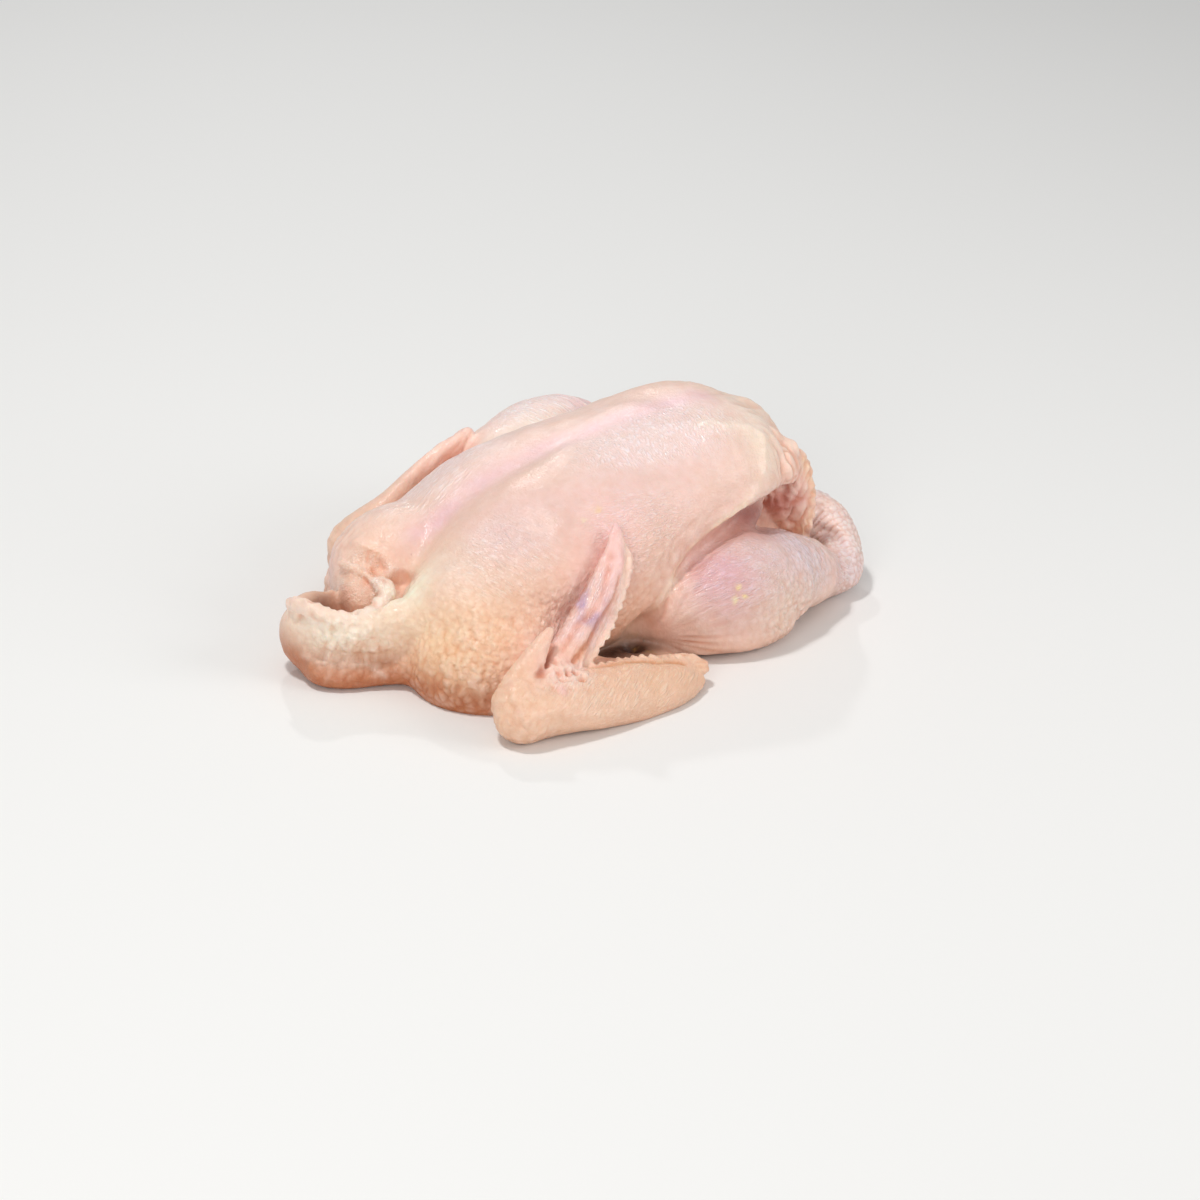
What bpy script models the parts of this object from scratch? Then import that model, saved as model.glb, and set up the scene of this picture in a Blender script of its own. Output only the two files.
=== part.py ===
"""A whole raw chicken lying on its back, breast up, with its wings folded at its sides
and its hocks tucked in under the skin at the tail.

The neck end points to -X, the tail end to +X and the breast up (+Z), and the bird lies
on its flat back. Every shape is a skin drawn over a few sections, given in millimetres.
The thick masses are joined into one soft body first. The thin parts, such as the wings
and the loose neck skin, are joined on after that, so that they keep a crisp edge.
"""

import math

import bmesh
import bpy
import numpy as np
from mathutils import Matrix, Vector

MM = 0.001

# Breast: x, top, widest line, lowest point, near half width, far half width, keel groove
BREAST = [
    (-97, 38, 26, 8, 42, 32, 14),
    (-89, 51, 28, 5, 56, 41, 14),
    (-78, 62, 30, 2, 63, 47, 11),
    (-66, 70, 31, -4, 67, 53, 8),
    (-50, 78, 33, -7, 70, 57, 6),
    (-28, 84, 36, -7, 70, 59, 4),
    (-4, 89, 39, -7, 66, 59, 2),
    (20, 94, 44, 0, 60, 56, 0),
    (42, 98, 52, 12, 56, 51, 0),
    (60, 99, 60, 30, 52, 46, 0),
    (76, 94, 68, 44, 45, 40, 0),
    (86, 88, 70, 54, 35, 31, 0),
    (92, 81, 70, 59, 24, 20, 0),
    (96, 74, 69, 63, 10, 8, 0),
]
GROOVE_WIDTH = 10.0        # how far the keel groove reaches to each side
ARCH = 2.3                 # how square the breast's section is; 2 is an ellipse

# Belly: x, top, widest line, lowest point, half width
BELLY = [
    (-66, 56, 28, -6, 48),
    (-20, 70, 32, -7, 54),
    (20, 80, 34, -7, 50),
    (50, 88, 40, -7, 38),
    (76, 92, 44, -7, 27),
    (90, 90, 44, -7, 20),
    (101, 79, 40, -6, 16),
    (110, 64, 35, -4, 14),
    (117, 47, 28, 2, 13),
    (122, 34, 22, 10, 9),
]

# Hollows in the skin: centre, reach and push
HOLLOWS = [
    ((-105, 3, 43), 5, (4, 1, -4)),
    ((-99, -7, 37), 5, (6, 5, -3)),
    ((-125, 7, 22), 7, (2, 0, -7)),
    ((80, -30, 47), 8, (0, 5, 0)),
    ((66, -43, 51), 9, (0, 4, -6)),
]

# Folds: path over the skin, reach and rise; a crease has a rise below zero
BREAST_EDGE = [(-1, -66, 30), (18, -63, 50), (46, -56, 62), (64, -50, 65), (90, -32, 66)]
UNDER_BREAST = [
    (-13, -62, 5),
    (-4, -64, 20),
    (10, -62, 36),
    (28, -60, 48),
    (50, -54, 55),
    (66, -48, 57),
    (80, -40, 56),
    (94, -29, 53),
]
UPPER_RIM = [(-107, 19, 48), (-104, 11, 47), (-100, 6, 45), (-98, 3, 41), (-99, 0, 38)]
SKIN_EDGE = [(-96, -4, 40), (-96, -8, 35), (-103, -16, 34), (-112, -25, 35), (-128, -31, 28)]
BY_SKIN_EDGE = [(-100, -4, 38), (-100, -10, 35), (-107, -17, 32), (-116, -24, 33)]
ANKLE = [(109, -27, 27), (119, -21, 25), (122, -26, 26), (122, -37, 25)]
FOLDS = [
    (UNDER_BREAST, 4, -6),
    (BREAST_EDGE, 3.5, 1.8),
    (UPPER_RIM, 2.5, 2),
    (SKIN_EDGE, 2.2, 1.6),
    (BY_SKIN_EDGE, 2.2, -2.5),
    (ANKLE, 2.5, -3),
]

BODY_VOXEL = 2.6           # grain of the skin that joins the thick masses
BODY_SOFTENING = 12        # passes that round the creases between them
SKIN_VOXEL = 1.8           # grain of the skin that joins the thin parts on
SKIN_SOFTENING = 3         # passes that round those joints
RING_POINTS = 48           # points round each section
RINGS_PER_SPAN = 6         # rings from one given section to the next
DOME = (8, 25, 45, 65)     # angles of the rings of a limb's domed end, in degrees
MOST_FACES = 8000          # triangles in the finished solid
LEVEL_BELOW = 0.3          # the back is level under this height

SKIN_COLOUR = (0.80, 0.50, 0.40, 1)
SKIN_ROUGHNESS = 0.4


def spline(keys, steps):
    """Rows read from a smooth curve through the given rows, this many to each span."""
    rows = np.array(keys, float)
    held = np.vstack([2 * rows[0] - rows[1], rows, 2 * rows[-1] - rows[-2]])
    found = []
    for i in range(1, len(held) - 2):
        p0, p1, p2, p3 = held[i - 1 : i + 3]
        for k in range(steps):
            t = k / steps
            bend = (2 * p0 - 5 * p1 + 4 * p2 - p3) * t**2
            twist = (3 * p1 - p0 - 3 * p2 + p3) * t**3
            found.append(0.5 * (2 * p1 + (p2 - p0) * t + bend + twist))
    found.append(rows[-1])
    return np.array(found)


def link(name, mesh):
    obj = bpy.data.objects.new(name, mesh)
    bpy.context.scene.collection.objects.link(obj)
    return obj


def skin_over(name, rings):
    """A closed object over rings of points, given in millimetres."""
    shape = bmesh.new()
    made = [[shape.verts.new(Vector(p) * MM) for p in ring] for ring in rings]
    count = len(made[0])
    for ring, following in zip(made, made[1:]):
        for i in range(count):
            k = (i + 1) % count
            shape.faces.new((ring[i], ring[k], following[k], following[i]))
    shape.faces.new(made[0][::-1])
    shape.faces.new(made[-1])
    bmesh.ops.recalc_face_normals(shape, faces=shape.faces)
    mesh = bpy.data.meshes.new(name)
    shape.to_mesh(mesh)
    shape.free()
    return link(name, mesh)


def round_the_ring():
    """Cosine and sine of each point's angle round a section."""
    angles = np.arange(RING_POINTS) * 2 * math.pi / RING_POINTS
    return np.cos(angles), np.sin(angles)


def breast():
    """Both breast lobes, section by section from the neck to the tail."""
    across, up = round_the_ring()
    across = np.sign(across) * np.abs(across) ** (2 / ARCH)
    up = np.sign(up) * np.abs(up) ** (2 / ARCH)
    rings = []
    for x, top, middle, low, near, far, groove in spline(BREAST, RINGS_PER_SPAN):
        y = across * np.where(across < 0, near, far)
        z = middle + up * np.where(up > 0, top - middle, middle - low)
        z -= groove * np.exp(-((y / GROOVE_WIDTH) ** 2)) * (up > 0)
        rings.append(np.column_stack([np.full(RING_POINTS, x), y, z]))
    return skin_over("breast", rings)


def belly():
    """The rib cage and, behind the breast, the narrow belly under its skin."""
    across, up = round_the_ring()
    rings = []
    for x, top, middle, low, half in spline(BELLY, RINGS_PER_SPAN):
        z = middle + up * np.where(up > 0, top - middle, middle - low)
        rings.append(np.column_stack([np.full(RING_POINTS, x), half * across, z]))
    return skin_over("belly", rings)


def limb(name, sections):
    """A limb with domed ends. A section is its centre, half width, half thickness and
    the tilt of its width from level, in degrees."""
    rows = spline(sections, RINGS_PER_SPAN)
    centres, halves, tilts = rows[:, :3], rows[:, 3:5], np.radians(rows[:, 5])
    ways = np.gradient(centres, axis=0)
    ways /= np.linalg.norm(ways, axis=1)[:, None]
    across, up = round_the_ring()

    def ring(i, share, shift):
        level = np.cross((0, 0, 1), ways[i])
        level /= np.linalg.norm(level)
        rise = np.cross(ways[i], level)
        width = math.cos(tilts[i]) * level + math.sin(tilts[i]) * rise
        depth = np.cross(ways[i], width)
        half = halves[i] * share
        middle = centres[i] + ways[i] * shift
        return middle + np.outer(across * half[0], width) + np.outer(up * half[1], depth)

    domes = [math.radians(a) for a in DOME]
    rings = [ring(0, math.sin(a), -math.cos(a) * halves[0].min()) for a in domes]
    rings += [ring(i, 1, 0) for i in range(len(rows))]
    rings += [ring(-1, math.sin(a), math.cos(a) * halves[-1].min()) for a in reversed(domes)]
    return skin_over(name, rings)


def ball(name, centre, halves):
    """An egg shape with these half sizes."""
    shape = bmesh.new()
    bmesh.ops.create_uvsphere(shape, u_segments=32, v_segments=20, radius=1)
    size = Matrix.Diagonal((*(Vector(halves) * MM), 1))
    shape.transform(Matrix.Translation(Vector(centre) * MM) @ size)
    mesh = bpy.data.meshes.new(name)
    shape.to_mesh(mesh)
    shape.free()
    return link(name, mesh)


def trunk():
    """The breast, the belly, the neck and the shoulders on both sides of it."""
    return [
        breast(),
        belly(),
        ball("front_near", (-70, -35, 28), (37, 36, 28)),
        ball("front_far", (-78, 22, 29), (37, 31, 31)),
        ball("neck_flesh", (-108, 6, 27), (13, 15, 13)),
        ball("shoulder_near", (-70, -50, 10), (42, 36, 33)),
        ball("shoulder_far", (-72, 36, 12), (38, 32, 32)),
        limb("rump", [
            (60, 0, 16, 42, 24, 0),
            (92, 0, 15, 30, 20, 0),
            (114, 1, 13, 18, 14, 0),
            (126, 2, 13, 10, 9, 0),
        ]),
        limb("neck_base", [
            (-88, -16, 12, 36, 18, 0),
            (-112, -11, 6, 27, 9, 0),
            (-130, -8, 5, 24, 8, 0),
            (-140, -4, 6, 21, 7, 0),
        ]),
        limb("neck_wall", [
            (-92, -27, 22, 22, 13, 66),
            (-114, -22, 17, 20, 9.5, 66),
            (-130, -18, 17, 19, 8, 72),
            (-140, -12, 18, 18, 7.5, 78),
            (-145, -2, 18, 17, 7, 86),
            (-144, 7, 16, 13, 6.5, 90),
        ]),
    ]


def near_leg():
    """Thigh, drumstick and the scaly shank, which is tucked in under the belly skin."""
    return [
        limb("thigh_near", [
            (11, -49, 21, 22, 21, 0),
            (44, -58, 25, 25, 26, 0),
            (70, -56, 23, 20, 21, 0),
        ]),
        limb("thigh_sag", [
            (4, -46, 8, 10, 8, 0),
            (24, -61, 9, 15.5, 9, 0),
            (46, -66, 9.5, 19, 9.5, 0),
            (64, -61, 9.5, 16, 9.5, 0),
        ]),
        limb("drumstick_near", [
            (28, -47, 33, 20, 18, 10),
            (60, -51, 29, 23, 19, 18),
            (90, -47, 20, 18, 17, 15),
            (107, -39, 12.5, 13, 13, 0),
            (120, -38, 11.5, 12.5, 11, 0),
        ]),
        limb("shank_near", [
            (121, -37, 12, 12.5, 12, 0),
            (128, -27, 17.5, 10.5, 11, 0),
            (130, -15, 24.5, 10, 10.5, 0),
            (126, -3, 29, 9.5, 10, 0),
        ]),
    ]


def far_leg():
    """The same on the far side, where the knee stands up higher."""
    return [
        limb("thigh_far", [
            (14, 50, 20, 22, 20, 0),
            (42, 60, 22, 25, 24, 0),
            (68, 57, 20, 19, 18, 0),
        ]),
        limb("knee_far", [
            (-6, 60, 48, 24, 23, 0),
            (22, 66, 49, 26, 30, 0),
            (54, 64, 42, 22, 24, 0),
        ]),
        limb("drumstick_far", [
            (6, 62, 50, 18, 20, 0),
            (44, 60, 44, 19, 20, 0),
            (84, 48, 31, 15, 16, 0),
            (106, 38, 18, 11, 12, 0),
            (119, 31, 14, 11, 11, 0),
        ]),
        limb("shank_far", [
            (119, 31, 14, 11, 11, 0),
            (127, 22, 19, 10, 11, 0),
            (124, 12, 25, 9, 10, 0),
        ]),
    ]


def upper_arms():
    return [
        limb("upper_arm_near", [
            (-80, -62, 16, 15, 12, 0),
            (-40, -78, 7, 13, 8, 0),
            (4, -86, 6, 10, 6.5, 0),
        ]),
        limb("upper_arm_far", [
            (-78, 48, 20, 15, 14, 0),
            (-40, 64, 12, 12, 10, 0),
            (4, 76, 9, 9, 8, 0),
        ]),
    ]


def near_wing():
    """Forearm, hand and thumb of the wing that lies in front."""
    return [
        limb("forearm_near", [
            (-92, -106, 12, 13.5, 12.5, -20),
            (-70, -103.5, 12, 16, 11.5, 10),
            (-50, -103, 11, 16, 10, 25),
            (-33, -101.5, 10, 15.5, 8.5, 33),
            (-14, -98.5, 8.5, 13.5, 7, 29),
            (-3, -95, 7.5, 10.5, 5.2, 28),
            (4, -92.5, 8.5, 7.5, 3.5, 20),
            (8.5, -93.5, 9, 4.5, 2.5, 15),
        ]),
        limb("hand_near", [
            (-92, -103, 15, 13.5, 12, 40),
            (-72, -96, 20.5, 9.5, 7.5, 40),
            (-61, -89.5, 28, 8.2, 5.5, 40),
            (-52, -84.5, 34.5, 7.6, 4.6, 40),
            (-43, -79.5, 42, 7.4, 4, 40),
            (-36, -76, 48.5, 6.8, 3.6, 40),
            (-27, -71, 59, 5.6, 3.2, 40),
            (-22, -65.5, 68, 3.8, 2.5, 40),
            (-21, -63, 70.5, 2.2, 2, 40),
        ]),
        limb("thumb_near", [
            (-90, -99, 21, 9, 5, 40),
            (-83, -96, 29, 6.5, 4, 40),
            (-77, -93, 35, 4, 3, 40),
            (-70, -90, 41, 1.6, 1.5, 40),
        ]),
    ]


def loose_skin():
    """The thin edges of skin: at the neck, at the tail and along the near wing."""
    return [
        limb("neck_rim", [
            (-114, 19, 39, 2, 1.8, 0),
            (-111, 3, 40, 2, 2, 0),
            (-109, -4, 38, 2.3, 2.2, 0),
            (-107.5, -9, 38, 2.9, 2.8, 0),
            (-108.5, -13, 35, 3.5, 3.2, 0),
            (-114, -17, 32, 4, 3.2, 0),
            (-120, -20, 31, 3.5, 3.2, 0),
            (-127, -21, 31, 3.5, 3.2, 0),
            (-134, -21, 31, 3.5, 3.2, 0),
            (-140.5, -19, 33, 3.5, 3.2, 0),
            (-144, -15, 35, 3.5, 3.2, 0),
            (-147, -9, 36, 3.5, 3, 0),
            (-149, -2, 35, 3.2, 3, 0),
        ]),
        limb("neck_far_edge", [
            (-147, 0, 27, 8, 3.5, 80),
            (-141, 7, 25, 8, 3.5, 85),
            (-133, 11, 24, 8, 4, 88),
            (-122, 14, 22, 8, 4, 88),
        ]),
        ball("belly_fold", (78, -26, 66), (22, 15, 13)),
        limb("belly_skin", [
            (82, -21, 72, 14, 8, 95),
            (94, -21, 58, 15, 7, 105),
            (101, -20, 44, 13, 6, 110),
            (106, -21, 33, 9, 4.5, 105),
            (109, -25, 26, 4, 3, 90),
        ]),
        limb("hand_skin", [
            (-61.5, -92.5, 21, 5, 1.6, 40),
            (-53, -88, 26, 7, 1.6, 40),
            (-43.5, -84, 32.5, 7.5, 1.6, 40),
            (-36, -80, 38.5, 6.5, 1.6, 40),
            (-28, -75.5, 46, 5, 1.6, 40),
            (-21, -71.5, 53, 4, 1.5, 40),
            (-18, -68.5, 59, 3.2, 1.5, 40),
            (-19, -66, 63.5, 1.6, 1.2, 40),
        ]),
        limb("forearm_skin", [
            (-55, -94, 16.5, 5, 2, 34),
            (-40, -93.5, 16, 5, 1.8, 34),
            (-25, -92.5, 14.5, 5, 1.8, 32),
            (-10, -91.5, 11.5, 5, 1.8, 30),
            (4, -90.5, 10.5, 4, 1.6, 25),
        ]),
    ]


def far_wing():
    return [
        limb("forearm_far", [
            (-80, 69, 15, 12, 12, 30),
            (-56, 74, 14, 16, 11, 40),
            (-24, 79, 13, 16, 9, 42),
            (6, 81, 9, 13, 6, 42),
            (16, 80, 6, 8, 4, 40),
        ]),
        limb("hand_far", [
            (-80, 67, 22, 13, 13, -60),
            (-62, 69, 37, 13, 8, -60),
            (-40, 71, 52, 10, 5, -60),
            (-20, 70, 66, 4, 3, -60),
        ]),
    ]


def as_shaped(obj):
    """The object's mesh as its modifiers leave it."""
    found = bpy.context.evaluated_depsgraph_get()
    return bpy.data.meshes.new_from_object(obj.evaluated_get(found))


def keep_largest_piece(mesh):
    """Drops loose scraps and fills sealed hollows, which are pieces of their own."""
    shape = bmesh.new()
    shape.from_mesh(mesh)
    left = set(shape.verts)
    pieces = []
    while left:
        piece = [left.pop()]
        for point in piece:
            for edge in point.link_edges:
                other = edge.other_vert(point)
                if other in left:
                    left.remove(other)
                    piece.append(other)
        pieces.append(piece)
    pieces.sort(key=len)
    scraps = [point for piece in pieces[:-1] for point in piece]
    bmesh.ops.delete(shape, geom=scraps, context="VERTS")
    shape.to_mesh(mesh)
    shape.free()


def one_skin(name, objs, voxel, softening):
    """One skin over all of these, with this many passes to round its creases."""
    shape = bmesh.new()
    for obj in objs:
        shape.from_mesh(obj.data)
        bpy.data.objects.remove(obj)
    mesh = bpy.data.meshes.new(name)
    shape.to_mesh(mesh)
    shape.free()
    obj = link(name, mesh)
    remesh = obj.modifiers.new("one skin", "REMESH")
    remesh.mode = "VOXEL"
    remesh.voxel_size = voxel * MM
    smooth = obj.modifiers.new("soften", "SMOOTH")
    smooth.factor = 0.5
    smooth.iterations = softening
    shaped = as_shaped(obj)
    bpy.data.objects.remove(obj)
    keep_largest_piece(shaped)
    return link(name, shaped)


def points_of(mesh):
    """The mesh's points in millimetres and the way each one faces."""
    points = np.empty(len(mesh.vertices) * 3)
    mesh.vertices.foreach_get("co", points)
    faces = np.empty(len(mesh.vertices) * 3)
    mesh.vertices.foreach_get("normal", faces)
    return points.reshape(-1, 3) / MM, faces.reshape(-1, 3)


def away_from(points, path):
    """How far each point is from a smooth curve through the path's points."""
    line = spline(path, RINGS_PER_SPAN)
    nearest = np.full(len(points), np.inf)
    for start, end in zip(line, line[1:]):
        along = end - start
        share = np.clip((points - start) @ along / (along @ along), 0, 1)
        gap = np.linalg.norm(points - start - share[:, None] * along, axis=1)
        nearest = np.minimum(nearest, gap)
    return nearest


def sculpt(mesh):
    """Hollows, folds and the flat back, made by moving the skin's points."""
    points, facing = points_of(mesh)
    for centre, reach, push in HOLLOWS:
        near = np.exp(-((np.linalg.norm(points - centre, axis=1) / reach) ** 2))
        points += near[:, None] * np.array(push)
    for path, reach, rise in FOLDS:
        near = np.exp(-((away_from(points, path) / reach) ** 2))
        points += facing * near[:, None] * rise
    points[:, 2] = np.maximum(points[:, 2], 0)
    mesh.vertices.foreach_set("co", (points * MM).ravel())
    mesh.update()


def skin_material():
    skin = bpy.data.materials.new("chicken skin")
    skin.use_nodes = True
    shader = skin.node_tree.nodes["Principled BSDF"]
    shader.inputs["Base Color"].default_value = SKIN_COLOUR
    shader.inputs["Roughness"].default_value = SKIN_ROUGHNESS
    return skin


def lighten(obj):
    """Fewer triangles where the skin is plain, with the back kept level."""
    fewer = obj.modifiers.new("fewer triangles", "DECIMATE")
    fewer.ratio = MOST_FACES / (2 * len(obj.data.polygons))
    fewer.use_collapse_triangulate = True
    shaped = as_shaped(obj)
    obj.modifiers.clear()
    obj.data = shaped
    points, _ = points_of(shaped)
    points[points[:, 2] < LEVEL_BELOW, 2] = 0
    middle = (points.min(axis=0) + points.max(axis=0)) / 2
    points -= (middle[0], middle[1], 0)
    shaped.vertices.foreach_set("co", (points * MM).ravel())
    shaped.update()


def main():
    for obj in list(bpy.data.objects):
        bpy.data.objects.remove(obj)
    masses = trunk() + near_leg() + far_leg() + upper_arms()
    body = one_skin("body", masses, BODY_VOXEL, BODY_SOFTENING)
    thin = near_wing() + far_wing() + loose_skin()
    chicken = one_skin("chicken", [body] + thin, SKIN_VOXEL, SKIN_SOFTENING)
    sculpt(chicken.data)
    lighten(chicken)
    chicken.data.materials.append(skin_material())


main()
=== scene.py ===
"""The looks of a whole raw chicken that lies on its back, breast up.

The bird is drawn as in the CAD part, as skins over a few sections, which are joined into
one skin. It is then sculpted in finer steps: the folds of the neck, the follicles, the
stretched skin of the legs, the scales of the hocks and the ragged edges of the cut skin.
Each point gets the colour of its zone, with painted shade in the creases, the hollows and
the gap by the wing, painted shade and a painted board reflection low down, and a painted
highlight on the ridges. The material adds fine lines, pores and the wet film, with a painted
highlight on the lines and painted shade between the knobs. Places and sizes are in
millimetres along the bird's own axes, except those of the lights, which are in metres.
"""

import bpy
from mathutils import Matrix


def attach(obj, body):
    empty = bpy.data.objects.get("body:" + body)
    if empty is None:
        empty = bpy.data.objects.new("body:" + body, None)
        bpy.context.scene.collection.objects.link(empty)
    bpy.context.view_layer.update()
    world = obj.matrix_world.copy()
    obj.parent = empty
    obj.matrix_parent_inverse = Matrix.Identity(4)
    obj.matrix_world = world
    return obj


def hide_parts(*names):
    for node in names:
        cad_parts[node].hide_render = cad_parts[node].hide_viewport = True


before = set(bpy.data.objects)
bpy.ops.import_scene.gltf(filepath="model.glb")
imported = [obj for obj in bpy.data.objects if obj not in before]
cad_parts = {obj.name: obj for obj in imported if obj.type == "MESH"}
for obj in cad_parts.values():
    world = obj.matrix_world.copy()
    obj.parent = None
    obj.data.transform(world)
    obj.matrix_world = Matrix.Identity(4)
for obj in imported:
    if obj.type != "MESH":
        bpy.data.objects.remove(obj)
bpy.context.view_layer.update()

import itertools
import math

import bmesh
import bpy
import numpy as np
from mathutils import Matrix, Vector

MM = 0.001

# Breast: x, top, widest line, lowest point, near half width, far half width, keel groove
BREAST = [
    (-97, 38, 26, 8, 42, 32, 14),
    (-89, 51, 28, 5, 56, 41, 14),
    (-78, 62, 30, 2, 63, 47, 11),
    (-66, 70, 31, -4, 67, 53, 8),
    (-50, 78, 33, -7, 70, 57, 6),
    (-28, 84, 36, -7, 70, 59, 4),
    (-4, 89, 39, -7, 66, 59, 2),
    (20, 94, 44, 0, 60, 56, 0),
    (42, 98, 52, 12, 56, 51, 0),
    (60, 99, 60, 30, 52, 46, 0),
    (76, 94, 68, 44, 45, 40, 0),
    (86, 88, 70, 54, 35, 31, 0),
    (92, 81, 70, 59, 24, 20, 0),
    (96, 74, 69, 63, 10, 8, 0),
]
GROOVE_WIDTH = 10.0        # how far the keel groove reaches to each side
ARCH = 2.3                 # how square the breast's section is; 2 is an ellipse

# Belly: x, top, widest line, lowest point, half width
BELLY = [
    (-66, 56, 28, -6, 48),
    (-20, 70, 32, -7, 54),
    (20, 80, 34, -7, 50),
    (50, 88, 40, -7, 38),
    (76, 92, 44, -7, 27),
    (90, 90, 44, -7, 20),
    (101, 79, 40, -6, 16),
    (110, 64, 35, -4, 14),
    (117, 47, 28, 2, 13),
    (122, 34, 22, 10, 9),
]

# Hollows in the skin: centre, reach and push
HOLLOWS = [
    ((-105, 3, 43), 5, (4, 1, -4)),
    ((-99, -7, 37), 5, (6, 5, -3)),
    ((-125, 7, 22), 7, (2, 0, -7)),
    ((80, -30, 47), 8, (0, 5, 0)),
    ((66, -43, 51), 9, (0, 4, -6)),
]

# Folds: path over the skin, reach and rise; a crease has a rise below zero
BREAST_EDGE = [(-1, -66, 30), (18, -63, 50), (46, -56, 62), (64, -50, 65), (90, -32, 66)]
UNDER_BREAST = [
    (-13, -62, 5),
    (-4, -64, 20),
    (10, -62, 36),
    (28, -60, 48),
    (50, -54, 55),
    (66, -48, 57),
    (80, -40, 56),
    (94, -29, 53),
]
UPPER_RIM = [(-107, 19, 48), (-104, 11, 47), (-100, 6, 45), (-98, 3, 41), (-99, 0, 38)]
SKIN_EDGE = [(-96, -4, 40), (-96, -8, 35), (-103, -16, 34), (-112, -25, 35), (-128, -31, 28)]
BY_SKIN_EDGE = [(-100, -4, 38), (-100, -10, 35), (-107, -17, 32), (-116, -24, 33)]
ANKLE = [(109, -27, 27), (119, -21, 25), (122, -26, 26), (122, -37, 25)]
FOLDS = [
    (UNDER_BREAST, 4, -6),
    (BREAST_EDGE, 3.5, 1.8),
    (UPPER_RIM, 2.5, 2),
    (SKIN_EDGE, 2.2, 1.6),
    (BY_SKIN_EDGE, 2.2, -2.5),
    (ANKLE, 2.5, -3),
]

BODY_VOXEL = 2.6           # grain of the skin that joins the thick masses
BODY_SOFTENING = 12        # passes that round the creases between them
SKIN_VOXEL = 0.85          # grain of the finest skin
SKIN_SOFTENING = 4         # passes that round the joints of the thin parts
MOST_FACES = 190000        # triangles of the finished skin
RING_POINTS = 48           # points round each section
RINGS_PER_SPAN = 6         # rings from one given section to the next
DOME = (8, 25, 45, 65)     # angles of the rings of a limb's domed end, in degrees

# The camera in the bird's own millimetres, and where its right, up and back point
CAMERA_AT = (-903.7, -1442.6, 765.4)
CAMERA_RIGHT = (0.85194, -0.52249, 0.03473)
CAMERA_UP = (0.18614, 0.36416, 0.91255)
CAMERA_BACK = (-0.48945, -0.77097, 0.40750)
CAMERA_LENS = 121.2
SENSOR = 36.0
CLIP_START = 0.05          # metres

NOISE_TABLE = 256          # random draws behind each noise
NOISE_GAIN = 1.7           # brings a noise to about -1 to 1
FAR_OFF = 9.0              # farther than any scattered point that is looked at, in cells
LEAST_SHARE = 0.03         # a relief that is weaker than this is left out
FLAT_BELOW = 0.5           # the back stays level up to this height,
FULL_ABOVE = 4             # and the relief is whole from this one


def spline(keys, steps):
    """Rows read from a smooth curve through the given rows, this many to each span."""
    rows = np.array(keys, float)
    held = np.vstack([2 * rows[0] - rows[1], rows, 2 * rows[-1] - rows[-2]])
    found = []
    for i in range(1, len(held) - 2):
        p0, p1, p2, p3 = held[i - 1 : i + 3]
        for k in range(steps):
            t = k / steps
            bend = (2 * p0 - 5 * p1 + 4 * p2 - p3) * t**2
            twist = (3 * p1 - p0 - 3 * p2 + p3) * t**3
            found.append(0.5 * (2 * p1 + (p2 - p0) * t + bend + twist))
    found.append(rows[-1])
    return np.array(found)


def link(name, data):
    """An object of this name in the scene: a mesh, a lamp or a camera."""
    obj = bpy.data.objects.new(name, data)
    bpy.context.scene.collection.objects.link(obj)
    return obj


def skin_over(name, rings):
    """A closed object over rings of points, given in millimetres."""
    shape = bmesh.new()
    made = [[shape.verts.new(Vector(p) * MM) for p in ring] for ring in rings]
    count = len(made[0])
    for ring, following in zip(made, made[1:]):
        for i in range(count):
            k = (i + 1) % count
            shape.faces.new((ring[i], ring[k], following[k], following[i]))
    shape.faces.new(made[0][::-1])
    shape.faces.new(made[-1])
    bmesh.ops.recalc_face_normals(shape, faces=shape.faces)
    mesh = bpy.data.meshes.new(name)
    shape.to_mesh(mesh)
    shape.free()
    return link(name, mesh)


def round_the_ring():
    """Cosine and sine of each point's angle round a section."""
    angles = np.arange(RING_POINTS) * 2 * math.pi / RING_POINTS
    return np.cos(angles), np.sin(angles)


def breast():
    """Both breast lobes, section by section from the neck to the tail."""
    across, up = round_the_ring()
    across = np.sign(across) * np.abs(across) ** (2 / ARCH)
    up = np.sign(up) * np.abs(up) ** (2 / ARCH)
    rings = []
    for x, top, middle, low, near, far, groove in spline(BREAST, RINGS_PER_SPAN):
        y = across * np.where(across < 0, near, far)
        z = middle + up * np.where(up > 0, top - middle, middle - low)
        z -= groove * np.exp(-((y / GROOVE_WIDTH) ** 2)) * (up > 0)
        rings.append(np.column_stack([np.full(RING_POINTS, x), y, z]))
    return skin_over("breast", rings)


def belly():
    """The rib cage and, behind the breast, the narrow belly under its skin."""
    across, up = round_the_ring()
    rings = []
    for x, top, middle, low, half in spline(BELLY, RINGS_PER_SPAN):
        z = middle + up * np.where(up > 0, top - middle, middle - low)
        rings.append(np.column_stack([np.full(RING_POINTS, x), half * across, z]))
    return skin_over("belly", rings)


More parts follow.
